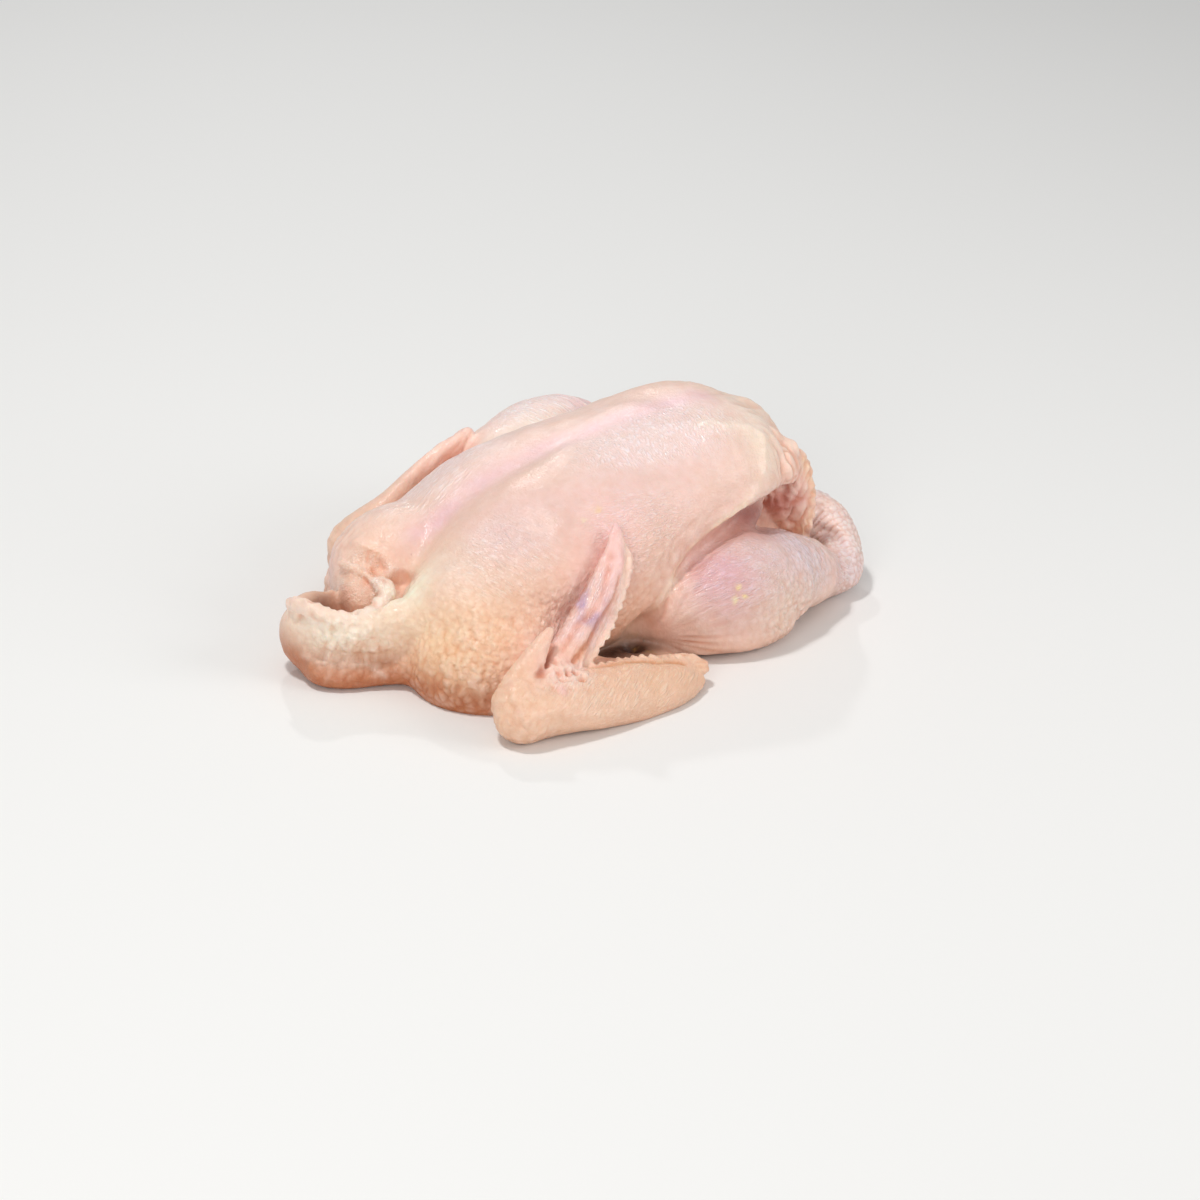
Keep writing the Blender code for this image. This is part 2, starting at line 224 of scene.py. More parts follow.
def limb(name, sections):
    """A limb with domed ends. A section is its centre, half width, half thickness and
    the tilt of its width from level, in degrees."""
    rows = spline(sections, RINGS_PER_SPAN)
    centres, halves, tilts = rows[:, :3], rows[:, 3:5], np.radians(rows[:, 5])
    ways = np.gradient(centres, axis=0)
    ways /= np.linalg.norm(ways, axis=1)[:, None]
    across, up = round_the_ring()

    def ring(i, share, shift):
        level = np.cross((0, 0, 1), ways[i])
        level /= np.linalg.norm(level)
        rise = np.cross(ways[i], level)
        width = math.cos(tilts[i]) * level + math.sin(tilts[i]) * rise
        depth = np.cross(ways[i], width)
        half = halves[i] * share
        middle = centres[i] + ways[i] * shift
        return middle + np.outer(across * half[0], width) + np.outer(up * half[1], depth)

    domes = [math.radians(a) for a in DOME]
    rings = [ring(0, math.sin(a), -math.cos(a) * halves[0].min()) for a in domes]
    rings += [ring(i, 1, 0) for i in range(len(rows))]
    rings += [ring(-1, math.sin(a), math.cos(a) * halves[-1].min()) for a in reversed(domes)]
    return skin_over(name, rings)


def ball(name, centre, halves):
    """An egg shape with these half sizes."""
    shape = bmesh.new()
    bmesh.ops.create_uvsphere(shape, u_segments=32, v_segments=20, radius=1)
    size = Matrix.Diagonal((*(Vector(halves) * MM), 1))
    shape.transform(Matrix.Translation(Vector(centre) * MM) @ size)
    mesh = bpy.data.meshes.new(name)
    shape.to_mesh(mesh)
    shape.free()
    return link(name, mesh)


def trunk():
    """The breast, the belly, the neck and the shoulders on both sides of it."""
    return [
        breast(),
        belly(),
        ball("front_near", (-70, -35, 28), (37, 36, 28)),
        ball("front_far", (-78, 22, 29), (37, 31, 31)),
        ball("neck_flesh", (-108, 6, 27), (13, 15, 13)),
        ball("shoulder_near", (-70, -50, 10), (42, 36, 33)),
        ball("shoulder_far", (-72, 36, 12), (38, 32, 32)),
        limb("rump", [
            (60, 0, 16, 42, 24, 0),
            (92, 0, 15, 30, 20, 0),
            (114, 1, 13, 18, 14, 0),
            (126, 2, 13, 10, 9, 0),
        ]),
        limb("neck_base", [
            (-88, -16, 12, 36, 18, 0),
            (-112, -11, 6, 27, 9, 0),
            (-130, -8, 5, 24, 8, 0),
            (-140, -4, 6, 21, 7, 0),
        ]),
        limb("neck_wall", [
            (-92, -27, 22, 22, 13, 66),
            (-114, -22, 17, 20, 9.5, 66),
            (-130, -18, 17, 19, 8, 72),
            (-140, -12, 18, 18, 7.5, 78),
            (-145, -2, 18, 17, 7, 86),
            (-144, 7, 16, 13, 6.5, 90),
        ]),
    ]


def near_leg():
    """Thigh, drumstick and the scaly shank, which is tucked in under the belly skin."""
    return [
        limb("thigh_near", [
            (11, -49, 21, 22, 21, 0),
            (44, -58, 25, 25, 26, 0),
            (70, -56, 23, 20, 21, 0),
        ]),
        limb("thigh_sag", [
            (4, -46, 8, 10, 8, 0),
            (24, -61, 9, 15.5, 9, 0),
            (46, -66, 9.5, 19, 9.5, 0),
            (64, -61, 9.5, 16, 9.5, 0),
        ]),
        limb("drumstick_near", [
            (28, -47, 33, 20, 18, 10),
            (60, -51, 29, 23, 19, 18),
            (90, -47, 20, 18, 17, 15),
            (107, -39, 12.5, 13, 13, 0),
            (120, -38, 11.5, 12.5, 11, 0),
        ]),
        limb("shank_near", [
            (121, -37, 12, 12.5, 12, 0),
            (128, -27, 17.5, 10.5, 11, 0),
            (130, -15, 24.5, 10, 10.5, 0),
            (126, -3, 29, 9.5, 10, 0),
        ]),
    ]


def far_leg():
    """The same on the far side, where the knee stands up higher."""
    return [
        limb("thigh_far", [
            (14, 50, 20, 22, 20, 0),
            (42, 60, 22, 25, 24, 0),
            (68, 57, 20, 19, 18, 0),
        ]),
        limb("knee_far", [
            (-6, 60, 48, 24, 23, 0),
            (22, 66, 49, 26, 30, 0),
            (54, 64, 42, 22, 24, 0),
        ]),
        limb("drumstick_far", [
            (6, 62, 50, 18, 20, 0),
            (44, 60, 44, 19, 20, 0),
            (84, 48, 31, 15, 16, 0),
            (106, 38, 18, 11, 12, 0),
            (119, 31, 14, 11, 11, 0),
        ]),
        limb("shank_far", [
            (119, 31, 14, 11, 11, 0),
            (127, 22, 19, 10, 11, 0),
            (124, 12, 25, 9, 10, 0),
        ]),
    ]


def upper_arms():
    """The part of each wing that lies along the body."""
    return [
        limb("upper_arm_near", [
            (-80, -62, 16, 15, 12, 0),
            (-40, -78, 7, 13, 8, 0),
            (4, -86, 6, 10, 6.5, 0),
        ]),
        limb("upper_arm_far", [
            (-78, 48, 20, 15, 14, 0),
            (-40, 64, 12, 12, 10, 0),
            (4, 76, 9, 9, 8, 0),
        ]),
    ]


def near_wing():
    """Forearm, hand and thumb of the wing that lies in front."""
    return [
        limb("forearm_near", [
            (-92, -106, 12, 13.5, 12.5, -20),
            (-70, -103.5, 12, 16, 11.5, 10),
            (-50, -103, 11, 16, 10, 25),
            (-33, -101.5, 10, 15.5, 8.5, 33),
            (-14, -98.5, 8.5, 13.5, 7, 29),
            (-3, -95, 7.5, 10.5, 5.2, 28),
            (4, -92.5, 8.5, 7.5, 3.5, 20),
            (8.5, -93.5, 9, 4.5, 2.5, 15),
        ]),
        limb("hand_near", [
            (-92, -103, 15, 13.5, 12, 40),
            (-72, -96, 20.5, 9.5, 7.5, 40),
            (-61, -89.5, 28, 8.2, 5.5, 40),
            (-52, -84.5, 34.5, 7.6, 4.6, 40),
            (-43, -79.5, 42, 7.4, 4, 40),
            (-36, -76, 48.5, 6.8, 3.6, 40),
            (-27, -71, 59, 5.6, 3.2, 40),
            (-22, -65.5, 68, 3.8, 2.5, 40),
            (-21, -63, 70.5, 2.2, 2, 40),
        ]),
        limb("thumb_near", [
            (-90, -99, 21, 9, 5, 40),
            (-83, -96, 29, 6.5, 4, 40),
            (-77, -93, 35, 4, 3, 40),
            (-70, -90, 41, 1.6, 1.5, 40),
        ]),
    ]


def loose_skin():
    """The thin skin at the neck, at the tail and along the near wing, and a filler in the gap
    by the wing for the body deep in it, which carries painted shade.
    """
    return [
        limb("neck_rim", [
            (-114, 19, 39, 2, 1.8, 0),
            (-111, 3, 40, 2, 2, 0),
            (-109, -4, 38, 2.3, 2.2, 0),
            (-107.5, -9, 38, 2.9, 2.8, 0),
            (-108.5, -13, 35, 3.5, 3.2, 0),
            (-114, -17, 32, 4, 3.2, 0),
            (-120, -20, 31, 3.5, 3.2, 0),
            (-127, -21, 31, 3.5, 3.2, 0),
            (-134, -21, 31, 3.5, 3.2, 0),
            (-140.5, -19, 33, 3.5, 3.2, 0),
            (-144, -15, 35, 3.5, 3.2, 0),
            (-147, -9, 36, 3.5, 3, 0),
            (-149, -2, 35, 3.2, 3, 0),
        ]),
        limb("neck_far_edge", [
            (-147, 0, 27, 8, 3.5, 80),
            (-141, 7, 25, 8, 3.5, 85),
            (-133, 11, 24, 8, 4, 88),
            (-122, 14, 22, 8, 4, 88),
        ]),
        ball("belly_fold", (78, -26, 66), (22, 15, 13)),
        limb("belly_skin", [
            (82, -21, 72, 14, 8, 95),
            (94, -21, 58, 15, 7, 105),
            (101, -20, 44, 13, 6, 110),
            (106, -21, 33, 9, 4.5, 105),
            (109, -25, 26, 4, 3, 90),
        ]),
        limb("hand_skin", [
            (-61.5, -92.5, 21, 5, 1.6, 40),
            (-53, -88, 26, 7, 1.6, 40),
            (-43.5, -84, 32.5, 7.5, 1.6, 40),
            (-36, -80, 38.5, 6.5, 1.6, 40),
            (-28, -75.5, 46, 5, 1.6, 40),
            (-21, -71.5, 53, 4, 1.5, 40),
            (-18, -68.5, 59, 3.2, 1.5, 40),
            (-19, -66, 63.5, 1.6, 1.2, 40),
        ]),
        limb("forearm_skin", [
            (-55, -94, 16.5, 5, 2, 34),
            (-40, -93.5, 16, 5, 1.8, 34),
            (-25, -92.5, 14.5, 5, 1.8, 32),
            (-10, -91.5, 11.5, 5, 1.8, 30),
            (4, -90.5, 10.5, 4, 1.6, 25),
        ]),
        # A filler for the body deep in the gap by the near wing: it hides the floor there and
        # is painted dark as the gap's shade
        ball("gap_filler_with_shade", (-12, -62, 3), (26, 15, 7)),
    ]


def far_wing():
    """The wing behind the bird, which lies closer to it."""
    return [
        limb("forearm_far", [
            (-80, 69, 15, 12, 12, 30),
            (-56, 74, 14, 16, 11, 40),
            (-24, 79, 13, 16, 9, 42),
            (6, 81, 9, 13, 6, 42),
            (16, 80, 6, 8, 4, 40),
        ]),
        limb("hand_far", [
            (-80, 67, 22, 13, 13, -60),
            (-62, 69, 37, 13, 8, -60),
            (-40, 71, 52, 10, 5, -60),
            (-20, 70, 66, 4, 3, -60),
        ]),
    ]


def as_shaped(obj):
    """The object's mesh as its modifiers leave it."""
    found = bpy.context.evaluated_depsgraph_get()
    return bpy.data.meshes.new_from_object(obj.evaluated_get(found))


def keep_largest_piece(mesh):
    """Drops loose scraps and the walls of sealed hollows, which are pieces too."""
    shape = bmesh.new()
    shape.from_mesh(mesh)
    left = set(shape.verts)
    pieces = []
    while left:
        piece = [left.pop()]
        for point in piece:
            for edge in point.link_edges:
                other = edge.other_vert(point)
                if other in left:
                    left.remove(other)
                    piece.append(other)
        pieces.append(piece)
    pieces.sort(key=len)
    scraps = [point for piece in pieces[:-1] for point in piece]
    bmesh.ops.delete(shape, geom=scraps, context="VERTS")
    shape.to_mesh(mesh)
    shape.free()


def one_skin(name, objs, voxel, softening):
    """One skin over all of these, with this many passes to round its creases."""
    shape = bmesh.new()
    for obj in objs:
        shape.from_mesh(obj.data)
        bpy.data.objects.remove(obj)
    mesh = bpy.data.meshes.new(name)
    shape.to_mesh(mesh)
    shape.free()
    obj = link(name, mesh)
    remesh = obj.modifiers.new("one skin", "REMESH")
    remesh.mode = "VOXEL"
    remesh.voxel_size = voxel * MM
    smooth = obj.modifiers.new("soften", "SMOOTH")
    smooth.factor = 0.5
    smooth.iterations = softening
    shaped = as_shaped(obj)
    bpy.data.objects.remove(obj)
    keep_largest_piece(shaped)
    return link(name, shaped)


def points_of(mesh):
    """The mesh's points in millimetres and the way each one faces."""
    points = np.empty(len(mesh.vertices) * 3)
    mesh.vertices.foreach_get("co", points)
    faces = np.empty(len(mesh.vertices) * 3)
    mesh.vertices.foreach_get("normal", faces)
    return points.reshape(-1, 3) / MM, faces.reshape(-1, 3)


def away_from(points, path):
    """How far each point is from a smooth curve through the path's points."""
    line = spline(path, RINGS_PER_SPAN)
    nearest = np.full(len(points), np.inf)
    for start, end in zip(line, line[1:]):
        along = end - start
        share = np.clip((points - start) @ along / (along @ along), 0, 1)
        gap = np.linalg.norm(points - start - share[:, None] * along, axis=1)
        nearest = np.minimum(nearest, gap)
    return nearest


def drawn_for(cell, order):
    """Which of the random draws belongs to each cell."""
    last = NOISE_TABLE - 1
    x, y, z = (cell & last).T
    return order[(order[(order[x] + y) & last] + z) & last]


def noise(points, size, seed):
    """Smooth noise from about -1 to 1 that changes over this many millimetres."""
    rng = np.random.default_rng(seed)
    order = rng.permutation(NOISE_TABLE)
    slopes = rng.normal(size=(NOISE_TABLE, 3))
    slopes /= np.linalg.norm(slopes, axis=1)[:, None]
    spot = np.asarray(points) / size
    cell = np.floor(spot).astype(int)
    part = spot - cell
    ease = part**3 * (part * (part * 6 - 15) + 10)
    total = np.zeros(len(spot))
    for corner in itertools.product((0, 1), repeat=3):
        pick = drawn_for(cell + corner, order)
        weight = np.prod(np.where(np.array(corner) == 1, ease, 1 - ease), axis=1)
        total += weight * np.einsum("ij,ij->i", slopes[pick], part - corner)
    return total * NOISE_GAIN


def cells(points, size, seed):
    """Distances, in cells, to the nearest and second nearest of scattered points."""
    rng = np.random.default_rng(seed)
    order = rng.permutation(NOISE_TABLE)
    shifts = rng.uniform(0.1, 0.9, size=(NOISE_TABLE, 3))
    spot = np.asarray(points) / size
    cell = np.floor(spot).astype(int)
    first = np.full(len(spot), FAR_OFF)
    second = np.full(len(spot), FAR_OFF)
    for step in itertools.product((-1, 0, 1), repeat=3):
        at = cell + step
        gap = np.linalg.norm(at + shifts[drawn_for(at, order)] - spot, axis=1)
        second = np.minimum(second, np.maximum(first, gap))
        first = np.minimum(first, gap)
    return first, second


def near(points, centre, halves):
    """1 at the centre, falling to 0 past these half sizes."""
    gap = np.linalg.norm((points - centre) / np.array(halves, float), axis=1)
    return np.exp(-(gap**2))


def ramp(values, low, high):
    """0 below low, 1 above high and smooth between."""
    share = np.clip((values - low) / (high - low), 0, 1)
    return share * share * (3 - 2 * share)


def thin_out(obj):
    """Brings the object's mesh down to its limit of triangles."""
    fewer = obj.modifiers.new("fewer triangles", "DECIMATE")
    fewer.ratio = min(1, MOST_FACES / (2 * len(obj.data.polygons)))
    shaped = as_shaped(obj)
    obj.modifiers.clear()
    obj.data = shaped


def beside(points, path, reach):
    """1 on a path over the skin, falling to 0 past this reach."""
    return np.exp(-((away_from(points, path) / reach) ** 2))


def sculpt(mesh):
    """The mesh's points with the hollows and folds of the CAD part pressed in."""
    points, facing = points_of(mesh)
    for centre, reach, push in HOLLOWS:
        share = np.exp(-((np.linalg.norm(points - centre, axis=1) / reach) ** 2))
        points += share[:, None] * np.array(push)
    for path, reach, rise in FOLDS:
        points += facing * beside(points, path, reach)[:, None] * rise
    points[:, 2] = np.maximum(points[:, 2], 0)
    return points


def run_along(points, path):
    """How far along the path each point is, in millimetres."""
    line = spline(path, RINGS_PER_SPAN)
    best = np.full(len(points), np.inf)
    found = np.zeros(len(points))
    done = 0.0
    for start, end in zip(line, line[1:]):
        step = end - start
        share = np.clip((points - start) @ step / (step @ step), 0, 1)
        gap = np.linalg.norm(points - start - share[:, None] * step, axis=1)
        closer = gap < best
        best[closer] = gap[closer]
        found[closer] = done + share[closer] * np.linalg.norm(step)
        done += np.linalg.norm(step)
    return found


def where_it_counts(points, share, shape):
    """A relief times its share, worked out only where the share counts."""
    rise = np.zeros(len(points))
    chosen = share > LEAST_SHARE
    rise[chosen] = share[chosen] * shape(points[chosen])
    return rise


def line_space(points, way, length, width):
    """Coordinates that change slowly along the way of the lines and fast across it."""
    along = np.array(way, float)
    along /= np.linalg.norm(along)
    run = points @ along
    return (points - np.outer(run, along)) / width + np.outer(run / length, along)


def unevenness(points):
    """Soft swellings of three sizes, so that no surface is quite smooth."""
    swellings = 0.9 * noise(points, 30, seed=1) + 0.45 * noise(points, 13, seed=2)
    return swellings + 0.18 * noise(points, 5, seed=3)


# Cobbled skin: centre, half sizes, height and size of a cobble
COBBLES = [
    ((-98, -62, 14), (24, 34, 28), 1.0, 4.2),
    ((-62, -72, 32), (34, 14, 20), 0.8, 3.6),
    ((-134, -26, 22), (22, 16, 11), 1.4, 4.6),
    ((-92, 40, 16), (24, 26, 26), 1.2, 4.4),
    ((-20, -66, 42), (30, 12, 18), 0.7, 3.2),
    ((64, -76, 14), (28, 14, 18), 0.9, 3.4),
    ((40, 72, 30), (60, 24, 30), 0.8, 4.0),
    ((-92, -112, 12), (14, 14, 16), 0.7, 4.0),
    ((70, 20, 30), (50, 60, 30), 0.5, 4.2),
]


def cobble_relief(points):
    """Flat-topped cobbles with narrow creases between them."""
    rise = np.zeros(len(points))
    for seed, (centre, halves, height, grain) in enumerate(COBBLES):
        def cobbled(spots):
            bent = spots + 0.8 * noise(spots, 5, seed=60)[:, None]
            first, second = cells(bent, grain, seed)
            bold = 0.75 + 0.5 * noise(spots, 12, seed)
            return bold * height * (np.clip((second - first) / 0.4, 0, 1) - 0.6 * first)

        rise += where_it_counts(points, near(points, centre, halves), cobbled)
    return rise


# Wrinkles: centre, half sizes, height, way, length and width. A height below zero gives
# rounded folds with sharp creases, one above zero gives sharp ridges.
WRINKLES = [
    ((-100, -62, 16), (22, 34, 26), -0.8, (0, 1, 0.6), 14, 7),
    ((-128, -26, 14), (22, 12, 12), -0.7, (0.2, -0.3, 1), 14, 5),
    ((12, -62, 38), (24, 10, 20), -0.7, (1, -0.3, 0.9), 30, 4.5),
    ((32, -54, 58), (30, 10, 10), 0.35, (1, 0, 0.6), 40, 4),
    ((90, -33, 68), (18, 14, 18), -1.7, (-0.1, 0.1, 1), 22, 5),
    ((102, -25, 46), (10, 10, 22), -2.0, (0.3, 0.1, 1), 16, 4),
    ((86, -24, 50), (14, 14, 10), -1.6, (1, 0.2, -0.5), 22, 4),
    ((84, -10, 90), (22, 26, 10), 0.6, (1, 0.3, -0.5), 24, 5),
    ((114, 6, 50), (16, 26, 30), -1.5, (0.1, 0, 1), 26, 6),
    ((108, -50, 22), (15, 10, 13), 0.8, (0.75, 0.1, -0.6), 40, 3.2),
    ((-109, 4, 36), (12, 16, 14), 0.8, (0.3, 1, -0.7), 25, 4),
    ((-96, -14, 30), (8, 12, 14), -1.0, (-0.4, -0.3, 1), 20, 4),
    ((-64, -92, 24), (14, 12, 9), -1.0, (0.66, 0.36, 0.66), 30, 4),
    ((-94, -108, 14), (12, 14, 16), -0.5, (0.2, 0, 1), 20, 5),
    ((36, 62, 76), (16, 16, 12), -0.6, (0.52, -0.89, -0.25), 30, 4),
    ((-30, 66, 60), (16, 8, 12), -0.9, (0.6, 0.1, 0.7), 30, 4),
    ((-106, 34, 42), (14, 14, 14), -0.7, (0.7, -0.2, 0.6), 30, 4),
]


def line_relief(points):
    """Wrinkles that run one way in each place."""
    rise = np.zeros(len(points))
    for seed, (centre, halves, height, way, length, width) in enumerate(WRINKLES):
        def wrinkled(spots):
            bend = 2.2 * noise(spots, 14, seed + 80)[:, None] * np.array((0.6, -0.5, 0.6))
            lines = line_space(spots + bend, way, length, width)
            ridges = 1 - 2 * np.abs(noise(lines, 1, seed + 20))
            return height * (ridges - 0.5)

        rise += where_it_counts(points, near(points, centre, halves), wrinkled)
    return rise


# Lines over the skin, as paths of points
HAND_LINE = [
    (-72, -96, 20.5), (-61, -89.5, 28), (-43, -79.5, 42), (-27, -71, 59), (-21, -63, 70),
]
HAND_GROOVE = [
    (-26, -78.5, 52), (-32, -81.5, 44), (-42, -86, 37.5), (-49.5, -89.5, 32),
    (-60.5, -96, 27.5),
]
HAND_CREASE = [(-28.5, -72, 61), (-40, -81.5, 46), (-54, -87, 38.5), (-66.5, -93, 29.5)]
HAND_EDGE = [
    (-19, -67.5, 64), (-19, -69.5, 58), (-24, -75.5, 49), (-31, -83, 35), (-38, -87.5, 29),
    (-48, -91, 23),
]
HAND_SIDE = [(-29, -64, 66), (-38, -70, 56), (-50, -76, 46), (-63, -82, 38), (-70, -86, 33)]
THUMB_GROOVE = [(-70, -88, 33), (-75, -94, 29), (-82, -102, 27)]
FOREARM_LINE = [(-92, -106, 12), (-50, -103, 11), (-14, -98.5, 8.5), (9, -90, 6)]
FOREARM_EDGE = [
    (-55, -90, 19.5), (-40, -89.5, 19), (-25, -88.5, 17), (-10, -87.5, 14), (4, -87.5, 9.5),
]
FOREARM_GROOVE = [(-52, -96, 21), (-36, -96, 20), (-20, -96, 18), (-4, -95, 13)]
SHANK_LINE = [(121, -37, 12), (128, -27, 17.5), (130, -15, 24.5), (126, -3, 29)]
FAR_SHANK_LINE = [(119, 31, 14), (127, 22, 19), (124, 12, 25)]
KEEL_LINE = [
    (-88, 6, 46), (-72, 3, 59), (-46, 3, 75), (-9, 1, 86), (32, -4, 96), (58, -6, 99),
]
BREAST_END = [
    (46, -27, 94), (63, -33, 92), (73, -35, 88), (71, -43, 82), (66, -49, 72),
    (56, -54, 66),
]
LOWER_LIP = [(53, -55, 63), (39, -58, 58), (21, -61, 49), (8, -64, 38), (2, -62, 28)]
CURTAIN_EDGE = [
    (104, -27, 66), (109, -26, 54), (110, -27, 44), (108, -27, 34), (104, -25, 28),
]
LEG_LINE = [
    (46, -75, 45), (50, -77, 43), (55, -78, 39), (60, -79, 32), (68, -77, 22),
    (76, -71, 12),
]
FLAP_EDGE = [(-148, -13, 14), (-140, -22, 13), (-127, -30, 11), (-120, -34, 7)]
NECK_RIM = [
    (-109, -7, 38), (-108, -14, 35), (-118, -20, 31), (-132, -21, 31), (-144, -14, 35),
    (-149, -3, 35),
]
THROAT_FOLDS = [(-112, 12, 43), (-106, 2, 42), (-98, -3, 42), (-95, -8, 37)]

# Folds finer than those of the CAD part: path, reach and rise
FINE_FOLDS = [
    (HAND_GROOVE, 1.5, -1.8),
    (HAND_CREASE, 1.5, -1.0),
    (HAND_SIDE, 2.2, -1.2),
    (THUMB_GROOVE, 2.0, -2.0),
    (FOREARM_GROOVE, 1.4, -1.2),
    (LEG_LINE, 1.5, -0.4),
    (BREAST_END, 2.6, 0.8),
    (LOWER_LIP, 1.5, 1.3),
    (FLAP_EDGE, 1.8, 0.9),
    (NECK_RIM, 2.4, 0.9),
    (THROAT_FOLDS, 1.6, 1.0),
]

# The crook of the near wing: centre and half sizes
CROOK = ((-68, -102, 25), (15, 9, 6))


def fold_relief(points):
    """Fine folds of uneven strength, and the crumpled skin of the wing and the neck."""
    rise = np.zeros(len(points))
    for seed, (path, reach, height) in enumerate(FINE_FOLDS):
        bent = points + 1.2 * noise(points, 8, seed + 100)[:, None]
        uneven = 0.9 + 0.7 * noise(points, 6, seed + 120)
        rise += height * uneven * beside(bent, path, reach)

    def crumpled(spots):
        return 1.8 - 4 * np.abs(noise(spots, 4.5, seed=21))

    def crinkled(spots):
        return 1.0 - 3 * np.abs(noise(spots, 5, seed=22))

    rise += where_it_counts(points, near(points, *CROOK), crumpled)
    rise += where_it_counts(points, beside(points, NECK_RIM, 5), crinkled)
    return rise


FAN_AT = (-2, -60, 12)     # where the stretched skin of the thigh spreads from
FAN_LINES = 7              # about as many lines to one radian of the fan
FAN_LENGTH = 26            # how slowly a line of the fan changes along its way


def fan_relief(points):
    """Skin that is stretched in a fan from the corner between the wing and the thigh."""
    reach = np.linalg.norm(points - np.array(FAN_AT), axis=1)
    share = ramp(reach, 8, 20) * ramp(-reach, -52, -18) * ramp(-points[:, 1], 50, 58)
    share *= ramp(points[:, 0], -2, 6) * ramp(-points[:, 2], -52, -42)

    def fanned(spots):
        away = spots - np.array(FAN_AT)
        angle = np.arctan2(away[:, 2], away[:, 0])
        run = np.linalg.norm(away, axis=1) / FAN_LENGTH
        spread = np.column_stack([angle * FAN_LINES, run, np.zeros(len(spots))])
        return 0.9 * (0.8 - 2 * np.abs(noise(spread, 1, seed=130)))

    return where_it_counts(points, share, fanned)


SCALE_SIZE = 3.3           # a scale on the outer side of the hocks
BAND_SIZE = 3.6            # a band on their inner side


def scale_relief(points, facing):
    """Grooves between the scales of the hocks, broad bands on the inner side."""
    rise = np.zeros(len(points))
    for line, seed in ((SHANK_LINE, 30), (FAR_SHANK_LINE, 31)):
        zone = ramp(beside(points, line, 17), 0.25, 0.5)
        inner = ramp(-facing[:, 0], 0.35, 0.65)
        first, second = cells(points, SCALE_SIZE, seed)
        grooves = np.exp(-(((second - first) / 0.16) ** 2))
        bands = np.abs((run_along(points, line) / BAND_SIZE) % 1 - 0.5) * 2
        rings = np.exp(-((bands / 0.25) ** 2))
        rise -= zone * (0.55 * grooves * (1 - inner) + 0.8 * rings * inner)
    return rise


def serrate(points, path, reach, period, way, seed):
    """Small uneven points along a cut edge of skin, pushed out this way."""
    along = run_along(points, path)
    teeth = np.abs(((along + 1.4 * noise(points, 7, seed)) / period) % 1 - 0.5) * 2
    teeth += 0.6 * noise(points, 9, seed + 1)
    return np.outer(beside(points, path, reach) * (teeth - 0.4), way)


TOOTH = 5.0                # from one point of a ragged edge to the next


def edge_relief(points):
    """The ragged edges of the cut skin on the wing and at the tail."""
    moved = serrate(points, FOREARM_EDGE, 4.2, TOOTH, (0, 1.1, 2.4), seed=50)
    moved += serrate(points, HAND_EDGE, 3.4, TOOTH, (0.9, -0.6, -0.6), seed=52)
    moved += serrate(points, CURTAIN_EDGE, 3.0, TOOTH, (1.2, -1.0, 0), seed=54)
    return moved


def mix(colour, share, other):
    """Each point's colour, moved by its share towards the other colour."""
    return colour + share[:, None] * (np.array(other) - colour)


# Colours as linear red, green and blue
PEACH = (0.86, 0.55, 0.40)
ROSE = (0.82, 0.53, 0.46)
PALE_ROSE = (0.90, 0.66, 0.62)
LILAC = (0.84, 0.76, 0.78)
# Tan for the lowest skin: painted shade and a painted reflection of a wooden board over the
# skin's own peach-orange
SHADED_TAN = (0.46, 0.13, 0.035)
# Painted shade for the deep gap between the near wing and the body
GAP_SHADE = (0.05, 0.014, 0.005)
STRAW = (0.50, 0.26, 0.06)
BRUISE = (0.46, 0.27, 0.44)
RED_WRIST = (0.80, 0.36, 0.40)
# Painted highlight that pales the ridges of the relief
RIDGE_HIGHLIGHT = (1.0, 0.78, 0.66)
# Painted shade that darkens the creases of the relief
CREASE_SHADE_LOSS = (0.16, 0.42, 0.54)           # how much of each channel a crease takes

